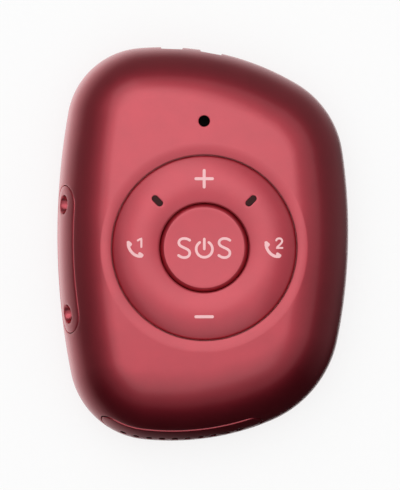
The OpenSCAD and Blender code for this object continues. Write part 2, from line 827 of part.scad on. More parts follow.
// Pins through the top edge, each with a collar inside the wall and a leg up to the board
module charge_contacts() {
    pin_depth = 0.05;
    collar_gap = 0.25;
    collar_lap = 0.4;
    collar_t = 0.45;
    leg_gap = 0.2;
    pin_recess = contact_notch_d + pin_depth;
    collar_in = wall + collar_gap;
    collar_r = contact_pin_r + collar_lap;
    leg_in = board_inset + leg_gap;
    leg_w = 1.2;
    leg_t = 0.8;
    color([0.83, 0.68, 0.3])
        for (x = [contact_left_x, contact_right_x])
            at_contact(x) {
                translate([0, -pin_recess, contact_z])
                    rotate([90, 0, 0]) cylinder(r = contact_pin_r, h = leg_in + leg_t - pin_recess);
                translate([0, -collar_in, contact_z])
                    rotate([90, 0, 0]) cylinder(r = collar_r, h = collar_t);
                translate([-leg_w / 2, -leg_in - leg_t, contact_z])
                    cube([leg_w, leg_t, board_z0 - contact_z]);
            }
}

module cover_screws() {
    color([0.6, 0.6, 0.62])
        for (p = posts)
            translate([p.x, p.y, head_recess]) {
                cylinder(r = head_r, h = head_h);
                translate([0, 0, head_h / 2]) cylinder(r = screw_r, h = screw_l + head_h / 2);
            }
}

front_shell();
rear_shell();
shell_seal();
inner_frame();
ring_key();
sos_key();
ring_pad();
led_lenses();
lanyard_bar();
speaker_grille();
speaker_mesh();
speaker();
microphone();
mic_gasket();
mic_mesh();
main_board();
rocker_switches();
sos_switch();
status_leds();
modem_shield();
gps_antenna();
cellular_antenna();
vibration_motor();
battery();
battery_pad();
battery_tabs();
charge_contacts();
cover_screws();
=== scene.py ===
"""Looks of a pendant alarm: painted shells and keys, printed legends, two inlays, screws and a studio.

Lengths are in millimetres up to the point where a mesh is made, and there they become metres.
"""
import json
from math import acos, asin, atan2, ceil, cos, dist, pi, radians, sin, sqrt, tan

import bmesh
import bpy
import numpy as np
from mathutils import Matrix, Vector
from mathutils.bvhtree import BVHTree
from mathutils.geometry import delaunay_2d_cdt

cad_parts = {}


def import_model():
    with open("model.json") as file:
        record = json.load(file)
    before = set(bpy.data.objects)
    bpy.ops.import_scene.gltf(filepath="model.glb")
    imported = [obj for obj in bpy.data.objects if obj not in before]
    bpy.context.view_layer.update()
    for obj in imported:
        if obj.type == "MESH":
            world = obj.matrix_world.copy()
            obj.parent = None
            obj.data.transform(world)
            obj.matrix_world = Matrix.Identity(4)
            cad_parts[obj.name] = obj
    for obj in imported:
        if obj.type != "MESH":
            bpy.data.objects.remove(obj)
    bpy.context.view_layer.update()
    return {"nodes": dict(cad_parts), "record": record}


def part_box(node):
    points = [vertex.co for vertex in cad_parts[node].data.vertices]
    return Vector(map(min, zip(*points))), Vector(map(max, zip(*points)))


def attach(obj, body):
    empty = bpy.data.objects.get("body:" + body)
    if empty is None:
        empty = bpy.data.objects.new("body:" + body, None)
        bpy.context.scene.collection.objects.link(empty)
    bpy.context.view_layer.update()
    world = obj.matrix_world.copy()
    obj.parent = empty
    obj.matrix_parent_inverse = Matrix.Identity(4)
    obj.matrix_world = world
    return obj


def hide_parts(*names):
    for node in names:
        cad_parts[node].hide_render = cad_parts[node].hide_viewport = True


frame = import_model()
MM = 0.001


def node_box(name):
    """Lowest and highest corner of a CAD node, in millimetres."""
    low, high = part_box(name)
    return np.array(low) / MM, np.array(high) / MM


# Outline of the housing: radius and crest of the right, top, left and bottom sides, and corner radii
BODY_W = 45.1
BODY_H = 61.0
RIGHT_R, RIGHT_CREST = 84.0, 1.9
TOP_R, TOP_CREST = 40.7, -6.2
LEFT_R, LEFT_CREST = 108.4, 1.3
BOTTOM_R, BOTTOM_CREST = 40.5, -5.0
CORNER_R = (14.7, 12.1, 12.8, 17.3)
OUTLINE_STEP = 0.48

# Levels and walls of the shells
FRONT_Z0 = node_box("front_shell")[0][2]
RIM_Z = node_box("front_shell")[1][2]
REAR_Z1 = node_box("rear_shell")[1][2]
CEIL_Z = node_box("mic_mesh")[0][2]
FLOOR_Z = node_box("battery_pad")[0][2]
WALL = 1.6
SHOULDER_W = 8.3
SHOULDER_EXTRA = 2.7
INNER_SHOULDER_W = 4.7
INNER_EXTRA = 2.2
LOW_POWER = 1.6
BACK_ROUND_W = 3.6
DOME_R = 250.0
EDGE_R = 0.12
UNDER_EDGE_R = 0.1
SKIN_STEPS = 52
INNER_STEPS = 14
BACK_STEPS = 18
CEILING_STEPS = 9

# The dial and its keys
RING_LOW, RING_HIGH = node_box("ring_key")
SOS_LOW, SOS_HIGH = node_box("sos_key")
DIAL = (RING_LOW[:2] + RING_HIGH[:2]) / 2
CREST_Z = RING_HIGH[2]
DIAL_R = 15.85
DISH_SLOPE = radians(7)
RING_R = 14.2
RING_BORE_R = 7.0
RING_CREST_R = 9.8
RING_CROWN = 1.0
RING_BORE_FALL = 0.3
KEY_GAP = 0.25
FLANGE_T = 0.65
FOOT_R = 1.0
FOOT_H = 0.15
FOOT_STEPS = 32
FLANGE_R = RING_HIGH[0] - DIAL[0]
FLANGE_Z0 = RING_LOW[2] + FOOT_H
RING_UNDER_Z = FLANGE_Z0 + FLANGE_T + KEY_GAP
SWITCH_ORBIT = 10.8
FOOT_REACH = 1.65
BORE_LIP = 0.1
BORE_EDGE_R = 0.28
RING_EDGE_R = 0.06
CROWN_STEPS = 25
SOS_TOP_R = 6.35
SOS_BEVEL_R = 6.2
SOS_BEVEL_H = 0.4
SOS_DISH = 0.12
SOS_STEPS = 16
STEM_R = 1.2
OPENING_R = RING_R + KEY_GAP
SEAT_LIP = 0.08
SEAT_LIP_H = 0.32
SEAT_LIP_R = 0.03
WINDOW_L = 2.0
WINDOW_W = 1.0
WINDOW_ORBIT = 10.2
WINDOW_ANGLES = (45, 135)
WINDOW_EDGE_R = 0.05
LATHE_STEPS = 240

# Inlays and small openings
INLAY_GAP = 0.12
INLAY_EDGE_R = 0.16
LANYARD_LOW, LANYARD_HIGH = node_box("lanyard_bar")
LANYARD_PITCH = 16.9
LANYARD_HOLE_R = 1.5
LANYARD_HOLE_EDGE = 0.14
LANYARD_BAR_T = 2.4
LANYARD_BACK_T = 0.8
TUNNEL_CLEAR = 0.1
GRILLE_LOW, GRILLE_HIGH = node_box("speaker_grille")
GRILLE_PITCH = 2.0
GRILLE_ROW_DROP = 0.9
GRILLE_HOLES = 10
GRILLE_HOLE_R = 0.5
GRILLE_EDGE_R = 0.3
GRILLE_RIM_R = 0.05
GRILLE_TRIM = 0.4
GRILLE_HOLE_EDGE = 0.08
MIC_LOW, MIC_HIGH = node_box("mic_mesh")
MIC_HOLE_R = 0.85
MIC_EDGE_R = 0.1
MIC_SEAT_CLEAR = 0.05
CONTACT_X = (-4.8, 1.3)
NOTCH_W = 3.2
NOTCH_D = 0.3
NOTCH_SIDE = 0.1
PIN_R = 0.9
PIN_CLEAR = 0.05
PIN_EDGE_R = 0.06
PIN_Z = 5.4

# Screws from the back
SCREW_LOW, SCREW_HIGH = node_box("cover_screws")
HEAD_R = 1.5
HEAD_H = 1.1
HEAD_CLEAR = 0.2
SCREW_R = 0.75
BOSS_R = 2.4
BOSS_Z = 3.6
POST_R = 1.8
POST_GAP = 0.3
CROSS_ARM = 0.85
CROSS_HALF = 0.19
CROSS_D = 0.55
CROSS_TAPER_L = 0.75
CROSS_TAPER_W = 0.7
HEAD_ROUND = 0.25
HEAD_STEPS = 36

# Printed legends: thickness, strokes, and places from the dial's axis
PRINT_T = 0.02
STROKE = 0.4
CAP_STEPS = 8
FINE_STROKE = 0.3
SIGN_STROKE = 0.46
SIGN_ARM = 1.27
SIGN_ORBIT = 10.62
LETTER_X = (-3.07, 3.12)
LETTER_Y = -0.05
POWER_PLACE = (0.02, -0.22)
CALL_1_PLACE = (-10.65, -0.22)
CALL_2_PLACE = (10.55, -0.27)

# Meshes: steps of roundings, angle above which an edge is sharp, slack in lengths and angles
ROUND_STEP = radians(22)
SHARP_ANGLE = radians(36)
NUDGE = 1e-4
FILL_MERGE = 1e-7
PRINT_MERGE = 1e-6

# How far a quarter round's middle lies from both of its sides, as a share of its radius
ROUND_MIDDLE = 0.3

# Faces that lean towards an opening's direction by less than this cosine are not cut by it
STEEP = 0.02

# Width of the strip of faces round an opening that is made anew
CUT_CLEAR = 0.2

# Material slots of a piece's darker linings, after its paint: painted shade on the walls of bores, gaps and
# tunnels
SHADE_LINING = 1
DEEP_SHADE_LINING = 2


# Geometry of the outline and the skin


def circles_meet(c1, d1, c2, d2):
    """Left crossing of two circles, seen from the first centre to the second."""
    v = c2 - c1
    gap = np.linalg.norm(v)
    u = v / gap
    a = (d1 * d1 - d2 * d2 + gap * gap) / (2 * gap)
    return c1 + u * a + np.array((-u[1], u[0])) * sqrt(d1 * d1 - a * a)


def bearing(v, middle):
    """Angle of a vector, on the turn nearest to a middle angle."""
    a = atan2(v[1], v[0])
    return a + 2 * pi * round((middle - a) / (2 * pi))


def outline_arcs():
    """Centre, radius, first and last angle of the eight tangent arcs, from the right side anticlockwise."""
    radii = (RIGHT_R, TOP_R, LEFT_R, BOTTOM_R)
    centres = [np.array(c) for c in (
        (BODY_W / 2 - RIGHT_R, RIGHT_CREST), (TOP_CREST, BODY_H / 2 - TOP_R),
        (LEFT_R - BODY_W / 2, LEFT_CREST), (BOTTOM_CREST, BOTTOM_R - BODY_H / 2))]
    corners, first, last = [], [], []
    for i, r in enumerate(CORNER_R):
        n = (i + 1) % 4
        middle = radians(45 + 90 * i)
        corner = circles_meet(centres[i], radii[i] - r, centres[n], radii[n] - r)
        corners.append(corner)
        first.append(bearing(corner - centres[i], middle))
        last.append(bearing(corner - centres[n], middle))
    arcs = []
    for i, r in enumerate(CORNER_R):
        start = last[i - 1] - (2 * pi if i == 0 else 0)
        arcs.append((centres[i], radii[i], start, first[i]))
        arcs.append((corners[i], r, first[i], last[i]))
    return arcs, corners


ARCS, CORNERS = outline_arcs()
TOP_ARC = 2
TOP_CENTRE = ARCS[TOP_ARC][0]


def notch_angles():
    """Angles on the top arc at which the side walls of the contacts' recesses begin and end."""
    angles = []
    for x in CONTACT_X:
        middle = pi / 2 - asin((x - TOP_CREST) / TOP_R)
        for reach in (NOTCH_W / 2, NOTCH_W / 2 + NOTCH_SIDE):
            half = asin(reach / TOP_R)
            angles += [middle - half, middle + half]
    return angles


def outline_samples():
    """Points of the outline with their outward normals."""
    points, normals = [], []
    for i, (centre, radius, start, end) in enumerate(ARCS):
        count = ceil((end - start) * radius / OUTLINE_STEP)
        angles = list(np.linspace(start, end, count, endpoint=False))
        if i == TOP_ARC:
            stops = notch_angles()
            spare = NOTCH_SIDE / 2 / TOP_R
            angles = [a for a in angles if min(abs(a - s) for s in stops) > spare] + stops
        for a in sorted(angles):
            n = np.array((cos(a), sin(a)))
            points.append(centre + radius * n)
            normals.append(n)
    return np.array(points), np.array(normals)


OUTLINE, NORMALS = outline_samples()


def inset(xy):
    """Distance of inner points from the outline, and how far its normal there points up the face."""
    best = np.full(len(xy), BODY_H)
    up = np.zeros(len(xy))
    for centre, radius, start, end in ARCS:
        rel = xy - centre
        reach = np.linalg.norm(rel, axis=1)
        angle = np.arctan2(rel[:, 1], rel[:, 0])
        angle += 2 * pi * np.round(((start + end) / 2 - angle) / (2 * pi))
        nearer = (angle >= start - NUDGE) & (angle <= end + NUDGE) & (radius - reach < best)
        best = np.where(nearer, radius - reach, best)
        up = np.where(nearer, rel[:, 1] / reach, up)
    return best, up


def low_share(up):
    """Share of the bottom edge's extra shoulder that a place with this normal has."""
    return np.maximum(0, -up) ** LOW_POWER


def shoulder(xy):
    """Rise of the skin over the shoulder: a quarter ellipse, then flat."""
    d, up = inset(xy)
    return np.sqrt(1 - np.clip(1 - d / (SHOULDER_W + SHOULDER_EXTRA * low_share(up)), 0, 1) ** 2)


def skin_z(xy):
    """Height of the front skin, which meets the dial's rim at one height all the way round."""
    rel = xy - DIAL
    reach = np.linalg.norm(rel, axis=1)
    rim = DIAL + rel * (DIAL_R / reach)[:, None]
    dome = RIM_Z - (reach ** 2 - DIAL_R ** 2) / (2 * DOME_R)
    return FRONT_Z0 + (dome - FRONT_Z0) * shoulder(xy) / shoulder(rim)


def at_height(xy, z):
    """Points of the plane lifted to one height, or to a height each."""
    return np.column_stack((xy, np.broadcast_to(z, len(xy))))


def inset_ring(d, z):
    """The outline drawn in by a distance, at a height."""
    return at_height(OUTLINE - d * NORMALS, z)


def inner_width(up):
    return INNER_SHOULDER_W + INNER_EXTRA * low_share(up)


def inner_ring(a):
    """Ring of the front shell's inside, from the parting line at angle 0 to the ceiling."""
    d = WALL + inner_width(NORMALS[:, 1]) * (1 - cos(a))
    return at_height(OUTLINE - d[:, None] * NORMALS, FRONT_Z0 + (CEIL_Z - FRONT_Z0) * sin(a))


def dial_ring(r, z):
    """A circle round the dial's axis, with a point on the ray to each sample of the outline."""
    rel = OUTLINE - DIAL
    return at_height(DIAL + rel * (r / np.linalg.norm(rel, axis=1))[:, None], z)


def parting_edge(z, side):
    """Rings that round a shell's edge at the parting line, up for side 1 and down for side -1."""
    middle = EDGE_R * ROUND_MIDDLE
    return [inset_ring(d, z + side * h) for d, h in ((EDGE_R, 0), (middle, middle), (0, EDGE_R))]


def skin_rings():
    """Rings of the front skin, from the parting line's rounded edge up to the dial's rim."""
    rim = dial_ring(DIAL_R, 0)[:, :2]
    rings = parting_edge(FRONT_Z0, 1)
    for k in range(1, SKIN_STEPS + 1):
        xy = OUTLINE + (rim - OUTLINE) * (1 - cos(pi / 2 * k / SKIN_STEPS))
        rings.append(at_height(xy, skin_z(xy)))
    return rings


def contact_normal(x):
    """Outward normal of the top edge at a contact."""
    tilt = asin((x - TOP_CREST) / TOP_R)
    return np.array((sin(tilt), cos(tilt)))


def notched(rings):
    """The rings with the contacts' flat recesses pressed into the top edge."""
    edge_depth = 1
    for x in CONTACT_X:
        out = contact_normal(x)
        across = np.array((out[1], -out[0]))
        foot = TOP_CENTRE + TOP_R * out
        inside = np.abs((OUTLINE - foot) @ across) < NOTCH_W / 2 + NOTCH_SIDE / 2
        inside &= (OUTLINE - foot) @ out > -edge_depth
        for ring in rings:
            height = (ring[:, :2] - foot) @ out
            over = np.where(inside, np.maximum(height + NOTCH_D, 0), 0)
            ring[:, :2] -= over[:, None] * out
    return rings


# Mesh tools


def add_ring(bm, points):
    return [bm.verts.new(p) for p in points]


def bridge(bm, a, b):
    """Quads between two rings of as many vertices."""
    count = len(a)
    return [bm.faces.new((a[i], a[(i + 1) % count], b[(i + 1) % count], b[i])) for i in range(count)]


def loft(bm, rings, closed=False):
    """Rings of points joined one to the next, and the last to the first where closed."""
    made = [add_ring(bm, ring) for ring in rings]
    for a, b in zip(made, made[1:]):
        bridge(bm, a, b)
    if closed:
        bridge(bm, made[-1], made[0])
    return made


def rounded(profile, radii):
    """A closed profile with its corners rounded, where a corner's radius isn't 0."""
    points = []
    count = len(profile)
    for i, r in enumerate(radii):
        p = np.array(profile[i], float)
        if r == 0:
            points.append(p)
            continue
        before = np.array(profile[i - 1]) - p
        after = np.array(profile[(i + 1) % count]) - p
        before /= np.linalg.norm(before)
        after /= np.linalg.norm(after)
        half = acos(np.clip(before @ after, -1, 1)) / 2
        back = r / tan(half)
        bisector = (before + after) / np.linalg.norm(before + after)
        centre = p + bisector * r / sin(half)
        start = p + before * back - centre
        end = p + after * back - centre
        sweep = pi - 2 * half
        steps = max(2, ceil(sweep / ROUND_STEP))
        for k in range(steps + 1):
            t = k / steps
            mix = (sin((1 - t) * sweep) * start + sin(t * sweep) * end) / sin(sweep)
            points.append(centre + mix)
    return points


def circle(centre, r, z, count=48):
    turns = [2 * pi * k / count for k in range(count)]
    return [(centre[0] + r * cos(a), centre[1] + r * sin(a), z) for a in turns]


def lathe(bm, profile, axis, steps=LATHE_STEPS):
    """A closed profile of radii and heights turned round an upright axis. Radius 0 makes a pole."""
    rings = [add_ring(bm, circle(axis, r, z, steps if r else 1)) for r, z in profile]
    for a, b in zip(rings, rings[1:] + rings[:1]):
        if len(a) == 1 and len(b) == 1:
            continue
        for i in range(steps):
            n = (i + 1) % steps
            corner = [a[i % len(a)], a[n % len(a)], b[n % len(b)], b[i % len(b)]]
            bm.faces.new(list(dict.fromkeys(corner)))


def ring_edges(base, count):
    """Pairs of neighbours in a closed ring whose first point has this index."""
    return [(base + i, base + (i + 1) % count) for i in range(count)]


def fill(bm, rings, flat, holes):
    """Triangles between an outer ring and rings inside it. holes tells which flat points to leave out."""
    verts = [v for ring in rings for v in ring]
    edges = []
    for ring in rings:
        edges += ring_edges(verts.index(ring[0]), len(ring))
    triangulate(bm, verts, edges, flat, holes)


def triangulate(bm, verts, edges, flat, holes):
    """Triangles inside closed edges, apart from those whose middle is to be left out."""
    uv = flat(np.array([v.co for v in verts]))
    result = delaunay_2d_cdt([Vector(p) for p in uv], edges, [], 1, FILL_MERGE)
    source = [ids[0] for ids in result[3]]
    for tri in result[2]:
        middle = np.mean([np.array(result[0][i]) for i in tri], axis=0)
        if not holes(middle[None])[0]:
            bm.faces.new([verts[source[i]] for i in tri])


class Opening:
    """A stadium-shaped or round opening, seen along a direction from a point outside the piece."""

    def __init__(self, origin, along, inward, length, width, count):
        self.origin = np.array(origin, float)
        self.along = np.array(along, float)
        self.inward = np.array(inward, float)
        self.across = np.cross(self.inward, self.along)
        self.length = length
        self.width = width
        self.count = count

    def flat(self, points):
        rel = np.asarray(points) - self.origin
        return np.column_stack((rel @ self.along, rel @ self.across))

    def lift(self, uv):
        """Places of flat points in the plane of the origin."""
        return self.origin + uv[:, :1] * self.along + uv[:, 1:] * self.across

    def depth(self, points):
        return (np.asarray(points) - self.origin) @ self.inward

    def distance(self, uv):
        """Distance of flat points from the opening's edge, below 0 inside it."""
        beyond = np.maximum(np.abs(uv[:, 0]) - (self.length - self.width) / 2, 0)
        return np.hypot(beyond, uv[:, 1]) - self.width / 2

    def loop(self, growth=0.0):
        """Points round the opening, grown by a distance, in the plane of its origin."""
        r = self.width / 2 + growth
        straight = self.length - self.width
        ends = pi * r
        points = []
        for k in range(self.count):
            s = 2 * (straight + ends) * k / self.count
            side = 1 if s < straight + ends else -1
            s -= 0 if side == 1 else straight + ends
            if s < straight:
                u, v = straight / 2 - s, r
            else:
                turn = pi / 2 + (s - straight) / r
                u, v = -straight / 2 + r * cos(turn), r * sin(turn)
            points.append(self.origin + side * (u * self.along + v * self.across))
        return np.array(points)

    def on(self, tree, growth=0.0, sink=0.0, wall=0):
        """The grown loop laid on the first surface that it meets, or on a later one, and sunk by a depth."""
        points = []
        for p in self.loop(growth):
            start = Vector(p)
            for _ in range(wall + 1):
                hit = tree.ray_cast(start, Vector(self.inward))[0]
                start = hit + Vector(self.inward) * NUDGE
            points.append(np.array(hit) + self.inward * sink)
        return np.array(points)

    def at(self, depth, growth=0.0):
        """The grown loop at one depth from the origin."""
        return self.loop(growth) + self.inward * depth


def near_faces(bm, opening, growth, facing, reach):
    """Faces of the near wall that an opening takes in. facing is -1 for the outside and 1 for the inside."""
    found = []
    inward = Vector(opening.inward)
    for f in bm.faces:
        if f.normal.dot(inward) * facing < STEEP or opening.depth(f.calc_center_median()) > reach:
            continue
        uv = opening.flat([v.co for v in f.verts])
        if opening.distance(uv).min() < growth + CUT_CLEAR:
            found.append(f)
    return found


def open_wall(bm, opening, ring, growth, facing, reach):
    """Cuts an opening into a wall and joins the wall to the opening's ring of points."""
    open_before = {e for e in bm.edges if e.is_boundary}
    bmesh.ops.delete(bm, geom=near_faces(bm, opening, growth, facing, reach), context="FACES")
    edge = [e for e in bm.edges if e.is_boundary and e not in open_before]
    return join_ring(bm, edge, opening, ring, lambda uv: opening.distance(uv) < growth - NUDGE)


def join_ring(bm, edge, opening, ring, holes):
    """Triangles between the edge of a surface and a new ring of points."""
    made = add_ring(bm, ring)
    rim = list({v for e in edge for v in e.verts})
    place = {v: i for i, v in enumerate(rim)}
    pairs = [tuple(place[v] for v in e.verts) for e in edge]
    pairs += ring_edges(len(rim), len(made))
    triangulate(bm, rim + made, pairs, opening.flat, holes)
    return made


def rounded_mouth(bm, tree, opening, first, radius, growth=0.0, inner=False, steps=3):
    """Rings that round the edge from a surface into an opening or off a rim. Returns the last ring."""
    last = first
    for k in range(1, steps + 1):
        turn = pi / 2 * k / steps
        widen = radius * (1 - sin(turn))
        edge = growth - widen if inner else growth + widen
        ring = add_ring(bm, opening.on(tree, edge, radius * (1 - cos(turn))))
        bridge(bm, last, ring)
        last = ring
    return last


def through(bm, tree, opening, gap, edge_r, reach):
    """An opening with a rounded mouth through a wall, from its outside to its inside."""
    mouth = open_wall(bm, opening, opening.on(tree, gap + edge_r), gap + edge_r, -1, reach)
    back = open_wall(bm, opening, opening.on(tree, gap, wall=1), gap, 1, reach)
    bridge(bm, rounded_mouth(bm, tree, opening, mouth, edge_r, gap), back)


def line_with(index, faces):
    for f in faces:
        f.material_index = index


def line_bore(bm, r):
    """Lines the wall of the bore of a radius round the dial's axis with the lining slot, whose darker colour
    is painted shade.
    """
    reach = 0.01
    line_with(SHADE_LINING, [f for f in bm.faces if max(dist(v.co[:2], DIAL) for v in f.verts) < r + reach])


def to_metres(bm):
    bmesh.ops.scale(bm, vec=(MM, MM, MM), verts=bm.verts)


def add_object(name, data):
    made = bpy.data.objects.new(name, data)
    bpy.context.scene.collection.objects.link(made)
    return made


def add_mesh(bm, name, materials):
    mesh = bpy.data.meshes.new(name)
    bm.to_mesh(mesh)
    bm.free()
    for material in materials:
        mesh.materials.append(material)
    return add_object(name, mesh)


def make(bm, name, body, slot, nodes=(), shade_linings=(), paint=None):
    """Turns a mesh in millimetres into a smooth-shaded piece that rides on a body."""
    bmesh.ops.recalc_face_normals(bm, faces=bm.faces)
    to_metres(bm)
    piece = add_mesh(bm, name, (paint or MATERIALS[slot], *shade_linings))
    piece.data.shade_smooth()
    piece.data.set_sharp_from_angle(angle=SHARP_ANGLE)
    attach(piece, body)
    if nodes:
        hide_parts(*nodes)


# Materials


def new_material(name):
    material = bpy.data.materials.new(name)
    material.use_nodes = True
    nodes = material.node_tree.nodes
    links = material.node_tree.links
    return material, nodes, links, nodes["Principled BSDF"]


def put(node, values):
    """Sets inputs of a shader node by their names."""
    for name, value in values.items():
        node.inputs[name].default_value = value


# Noise lies mostly between these two values
NOISE_LOW = 0.3
NOISE_HIGH = 0.7


def noise(nodes, links, scale, detail=2.0):
    """Noise over the object's own coordinates. The scale is in ripples per metre."""
    place = nodes.new("ShaderNodeTexCoord")
    made = nodes.new("ShaderNodeTexNoise")
    put(made, {"Scale": scale, "Detail": detail})
    links.new(place.outputs["Object"], made.inputs["Vector"])
    return made


def roughen(nodes, links, source, shader, roughness, vary):
    """A roughness that noise makes less and more."""
    made = nodes.new("ShaderNodeMapRange")
    ends = {"To Min": roughness - vary, "To Max": roughness + vary}
    put(made, {"From Min": NOISE_LOW, "From Max": NOISE_HIGH, **ends})
    links.new(source.outputs["Fac"], made.inputs["Value"])
    links.new(made.outputs["Result"], shader.inputs["Roughness"])


def tint(nodes, links, source, shader, colour, shade):
    """A colour that noise makes darker and lighter by a share."""
    made = nodes.new("ShaderNodeValToRGB")
    stops = ((NOISE_LOW, 1 - shade), (NOISE_HIGH, 1 + shade))
    for stop, (position, level) in zip(made.color_ramp.elements, stops):
        stop.position = position
        stop.color = (*[min(1, c * level) for c in colour], 1)
    links.new(source.outputs["Fac"], made.inputs["Fac"])
    links.new(made.outputs["Color"], shader.inputs["Base Color"])


def bump(nodes, links, source, shader, depth, strength=1.0):
    """Fine relief of a depth in metres."""
    made = nodes.new("ShaderNodeBump")
    put(made, {"Strength": strength, "Distance": depth})
    links.new(source.outputs["Fac"], made.inputs["Height"])
    links.new(made.outputs["Normal"], shader.inputs["Normal"])


def calculate(nodes, links, operation, a, b):
    """A sum, product or maximum of two values, each a socket or a number."""
    made = nodes.new("ShaderNodeMath")
    made.operation = operation
    for socket, value in zip(made.inputs, (a, b)):
        if isinstance(value, (int, float)):
            socket.default_value = value
        else:
            links.new(value, socket)
    return made.outputs["Value"]


def finish(name, colour, roughness, metallic=0.0, shade=0.12, grain=2500.0, depth=2e-6, coat=0.0, gloss=0.5):
    """A surface with slight changes of colour and gloss and a fine grain."""
    cloud_grains = 8
    vary = 0.08 * roughness
    material, nodes, links, shader = new_material(name)
    put(shader, {"Metallic": metallic, "Coat Weight": coat, "Specular IOR Level": gloss})
    cloud = noise(nodes, links, grain / cloud_grains, detail=3.0)
    fine = noise(nodes, links, grain)
    tint(nodes, links, cloud, shader, colour, shade)
    roughen(nodes, links, fine, shader, roughness, vary)
    bump(nodes, links, fine, shader, depth)
    return material


def satin_paint(name, colour, roughness=0.49):
    """Satin metallic paint: fine flakes under a thin matt lacquer."""
    flake_grain = 9000
    flake_depth = 1.2e-6
    cloud_grain = 260
    shade = 0.04
    vary = 0.03
    material, nodes, links, shader = new_material(name)
    put(shader, {"Metallic": 0.99, "Coat Weight": 1.0, "Coat IOR": 1.68, "Coat Roughness": 0.255})
    flakes = noise(nodes, links, flake_grain, detail=1.0)
    cloud = noise(nodes, links, cloud_grain, detail=3.0)
    tint(nodes, links, cloud, shader, colour, shade)
    roughen(nodes, links, flakes, shader, roughness, vary)
    bump(nodes, links, flakes, shader, flake_depth, strength=0.6)
    return material


RED = (0.585, 0.034, 0.062)
MATERIALS = {
    "shell_red": satin_paint("shell_red", RED),
    "rear_red": satin_paint("rear_red", [c * 0.94 for c in RED]),
    "key_red": satin_paint("key_red", [c * 1.03 for c in RED]),
    "seal_rubber": finish("seal_rubber", (0.03, 0.03, 0.032), 0.7, shade=0.2),
    "frame_plastic": finish("frame_plastic", (0.05, 0.05, 0.054), 0.5, shade=0.15, depth=6e-6),
    "silicone": finish("silicone", (0.25, 0.25, 0.27), 0.6, shade=0.08),
    "lens_brown": finish("lens_brown", (0.04, 0.007, 0.007), 0.45, shade=0.1, depth=5e-7, gloss=0.15),
    "mesh_black": finish("mesh_black", (0.003, 0.003, 0.003), 0.8, shade=0.5, grain=6000, depth=2e-5,
                         gloss=0.05),
    "can_metal": finish("can_metal", (0.6, 0.6, 0.6), 0.35, metallic=1.0, shade=0.08),
    "board_green": finish("board_green", (0.02, 0.14, 0.07), 0.35, shade=0.2, coat=0.3),
    "led_white": finish("led_white", (0.8, 0.8, 0.72), 0.25, shade=0.05, coat=0.3),
    "ceramic": finish("ceramic", (0.62, 0.55, 0.42), 0.6, shade=0.1),
    "copper": finish("copper", (0.72, 0.4, 0.2), 0.35, metallic=1.0, shade=0.15),
    "battery_foil": finish("battery_foil", (0.66, 0.67, 0.7), 0.4, metallic=0.9, shade=0.06, depth=8e-6),
    "foam": finish("foam", (0.06, 0.06, 0.06), 0.9, shade=0.4, grain=4000, depth=4e-5),
    "contact_gold": finish("contact_gold", (0.83, 0.58, 0.22), 0.28, metallic=1.0, shade=0.1),
    "screw_steel": finish("screw_steel", (0.5, 0.5, 0.52), 0.34, metallic=1.0, shade=0.12, depth=3e-6),
}
LEGEND = finish("legend_ink", (0.92, 0.54, 0.555), 0.6, shade=0.03, depth=1e-6, gloss=0.2)
# A darker, smoother red for the walls of the lanyard's holes: the smoothness is a finish, the darker colour
# is painted shade inside the holes
BORE_SHADE_RED = satin_paint("bore_shade_red", [c * 0.8 for c in RED], 0.28)
# Dark red for the wall of the seat round the ring key: painted shade in the gap round the key
SEAT_GAP_SHADE_RED = finish("seat_gap_shade_red", (0.5, 0.006, 0.012), 0.7, shade=0.1, gloss=0.0)
# Muted dark red for the ring key's bore wall: painted shade in the groove round the centre key
KEY_BORE_SHADE = finish("key_bore_shade", (0.4, 0.07, 0.08), 0.7, shade=0.2, gloss=0.0)
# Near black for the walls of the grille's holes and of the lanyard's tunnel: painted shade deep inside them
HOLE_SHADE_DARK = finish("hole_shade_dark", (0.02, 0.002, 0.003), 0.7, shade=0.3, gloss=0.1)


# Shells


def solid_tree(bm):
    """Outward normals and a ray tree for a closed mesh."""
    bmesh.ops.recalc_face_normals(bm, faces=bm.faces)
    bm.normal_update()
    return BVHTree.FromBMesh(bm)


def round_opening(origin, along, inward, r, count):
    return Opening(origin, along, inward, 2 * r, 2 * r, count)


def lanyard_opening():
    _, y, z = (LANYARD_LOW + LANYARD_HIGH) / 2
    _, length, width = LANYARD_HIGH - LANYARD_LOW
    return Opening((-BODY_W, y, z), (0, 1, 0), (1, 0, 0), length, width, count=160)


def grille_opening():
    x, _, z = (GRILLE_LOW + GRILLE_HIGH) / 2
    length, _, width = GRILLE_HIGH - GRILLE_LOW
    origin = (x, -BODY_H, z - GRILLE_TRIM / 2)
    return Opening(origin, (1, 0, 0), (0, 1, 0), length, width - GRILLE_TRIM, count=160)


def pin_openings():
    """One round opening in the floor of each contact's recess."""
    made = []
    for x in CONTACT_X:
        out = np.array((*contact_normal(x), 0))
        origin = np.array((*TOP_CENTRE, PIN_Z)) + 2 * TOP_R * out
        made.append(round_opening(origin, (out[1], -out[0], 0), -out, PIN_R, count=40))
    return made


def microphone_opening():
    x, y, _ = (MIC_LOW + MIC_HIGH) / 2
    return round_opening((x, y, 2 * CREST_Z), (1, 0, 0), (0, 0, -1), MIC_HOLE_R, count=48)


